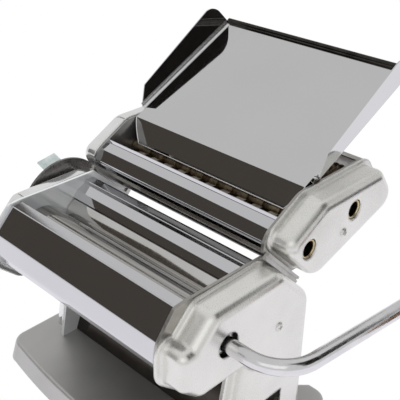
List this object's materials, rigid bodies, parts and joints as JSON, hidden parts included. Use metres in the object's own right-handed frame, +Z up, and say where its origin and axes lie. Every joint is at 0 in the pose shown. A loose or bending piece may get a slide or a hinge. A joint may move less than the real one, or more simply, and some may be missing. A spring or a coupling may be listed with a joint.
{
  "type": "hand cranked pasta machine",
  "caption": "Bench pasta machine: two geared sheeting rollers with a thickness dial, a crank, and a docked cutting unit with two pairs of cutting rollers and a feed tray.",
  "frame": {"origin": "on the table under the middle of the machine's width, at the underside of the four rubber feet, Y = 0 near the middle of the base plate's depth", "axes": "+X along the rollers towards the crank, -Y to the front where the dough sheet comes out, +Y to the rear where the cutting unit docks, +Z up"},
  "size_m": [0.3356, 0.2281, 0.232],
  "materials": {
    "base_steel": "satin chromed sheet",
    "foot_rubber": "matt",
    "polished_steel": "polished",
    "satin_chrome": "satin chromed pressed sheet",
    "tray_steel": "bright rolled sheet",
    "frame_steel": "zinc plated sheet",
    "bar_steel": "turned",
    "screw_steel": "chromed",
    "bush_steel": "plain bearing metal",
    "roller_steel": "ground and chromed",
    "gear_steel": "machined",
    "spring_steel": "drawn wire",
    "zinc": "zinc plated",
    "crank_steel": "polished",
    "grip_wood": "varnished"
  },
  "bodies": {
    "frame": {"base_plate": "base_steel", "rubber_feet": "foot_rubber", "right_frame": "frame_steel", "left_frame": "frame_steel", "right_cover": "satin_chrome", "left_cover": "satin_chrome", "front_cover": "polished_steel", "rear_cover": "polished_steel", "chute": "polished_steel", "tie_rods": "bar_steel", "frame_screws": "screw_steel", "cover_pillars": "bar_steel", "cover_screws": "screw_steel", "right_guide_rail": "bar_steel", "left_guide_rail": "bar_steel", "drive_bushes": "bush_steel", "front_scraper": "bar_steel", "rear_scraper": "bar_steel", "dial_pivot": "bar_steel"},
    "front_roller": {"front_roller": "roller_steel", "front_roller_gear": "gear_steel"},
    "crank": {"crank": "crank_steel"},
    "crank_grip": {"crank_grip": "grip_wood"},
    "adjuster": {"right_eccentric": "zinc", "left_eccentric": "zinc", "adjuster_link_rod": "bar_steel", "adjuster_dial": "zinc", "adjuster_spring": "spring_steel"},
    "adjuster_lever": {"adjuster_lever": "zinc"},
    "roller_sleeves": {"rear_roller_sleeves": "bush_steel"},
    "rear_roller": {"rear_roller": "roller_steel", "rear_roller_gear": "gear_steel"},
    "cutter_unit": {"cutter_right_frame": "frame_steel", "cutter_left_frame": "frame_steel", "cutter_right_cover": "satin_chrome", "cutter_left_cover": "satin_chrome", "cutter_front_cover": "polished_steel", "cutter_rear_cover": "polished_steel", "cutter_ridge": "polished_steel", "cutter_tie_rods": "bar_steel", "cutter_pillars": "bar_steel", "cutter_screws": "screw_steel", "cutter_bushes": "bush_steel", "wide_front_comb": "zinc", "wide_rear_comb": "zinc", "narrow_front_comb": "zinc", "narrow_rear_comb": "zinc"},
    "wide_cutter_driver": {"wide_cutter_driver": "roller_steel", "wide_driver_gear": "gear_steel"},
    "wide_cutter_partner": {"wide_cutter_partner": "roller_steel", "wide_partner_gear": "gear_steel"},
    "narrow_cutter_driver": {"narrow_cutter_driver": "roller_steel", "narrow_driver_gear": "gear_steel"},
    "narrow_cutter_partner": {"narrow_cutter_partner": "roller_steel", "narrow_partner_gear": "gear_steel"},
    "feed_tray": {"feed_tray": "tray_steel"}
  },
  "joints": [
    {"name": "front_roller_spin", "type": "hinge", "parent": "frame", "child": "front_roller", "pos_m": [0, -0.0355, 0.1135], "axis": [1, 0, 0], "continuous": true},
    {"name": "crank_plug", "type": "slide", "parent": "front_roller", "child": "crank", "axis": [1, 0, 0], "range_m": [0, 0.03]},
    {"name": "grip_spin", "type": "hinge", "parent": "crank", "child": "crank_grip", "pos_m": [0, 0.09395, 0.10988], "axis": [1, 0, 0], "continuous": true},
    {"name": "adjuster_turn", "type": "hinge", "parent": "frame", "child": "adjuster", "pos_m": [0, -0.00053, 0.1085], "axis": [1, 0, 0], "range_deg": [-15, 22]},
    {"name": "adjuster_lever_pull", "type": "slide", "parent": "adjuster", "child": "adjuster_lever", "axis": [-1, 0, 0], "range_m": [0, 0.003], "stiffness_N_per_m": 400, "springref_m": -0.004, "deforming": ["adjuster_spring"]},
    {"name": "sleeve_shift", "type": "slide", "parent": "frame", "child": "roller_sleeves", "axis": [0, -1, 0], "range_m": [-0.00049, 0.00073]},
    {"name": "rear_roller_spin", "type": "hinge", "parent": "roller_sleeves", "child": "rear_roller", "pos_m": [0, -0.00053, 0.1105], "axis": [1, 0, 0], "continuous": true},
    {"name": "cutter_unit_slide", "type": "slide", "parent": "frame", "child": "cutter_unit", "axis": [0, -0.7071, 0.7071], "range_m": [0, 0.045]},
    {"name": "wide_driver_spin", "type": "hinge", "parent": "cutter_unit", "child": "wide_cutter_driver", "pos_m": [0, 0.0339, 0.1435], "axis": [1, 0, 0], "continuous": true},
    {"name": "wide_partner_spin", "type": "hinge", "parent": "cutter_unit", "child": "wide_cutter_partner", "pos_m": [0, 0.05537, 0.14463], "axis": [1, 0, 0], "continuous": true},
    {"name": "narrow_driver_spin", "type": "hinge", "parent": "cutter_unit", "child": "narrow_cutter_driver", "pos_m": [0, 0.078, 0.15247], "axis": [1, 0, 0], "continuous": true},
    {"name": "narrow_partner_spin", "type": "hinge", "parent": "cutter_unit", "child": "narrow_cutter_partner", "pos_m": [0, 0.09947, 0.1536], "axis": [1, 0, 0], "continuous": true},
    {"name": "feed_tray_lift", "type": "slide", "parent": "cutter_unit", "child": "feed_tray", "axis": [0, 0, 1], "range_m": [0, 0.03]}
  ],
  "couplings": [
    {"joint": "rear_roller_spin", "follows": "front_roller_spin", "ratio": -1},
    {"joint": "adjuster_turn", "follows": "sleeve_shift", "rad_per_m": 500},
    {"joint": "wide_partner_spin", "follows": "wide_driver_spin", "ratio": -1},
    {"joint": "narrow_partner_spin", "follows": "narrow_driver_spin", "ratio": -1}
  ]
}
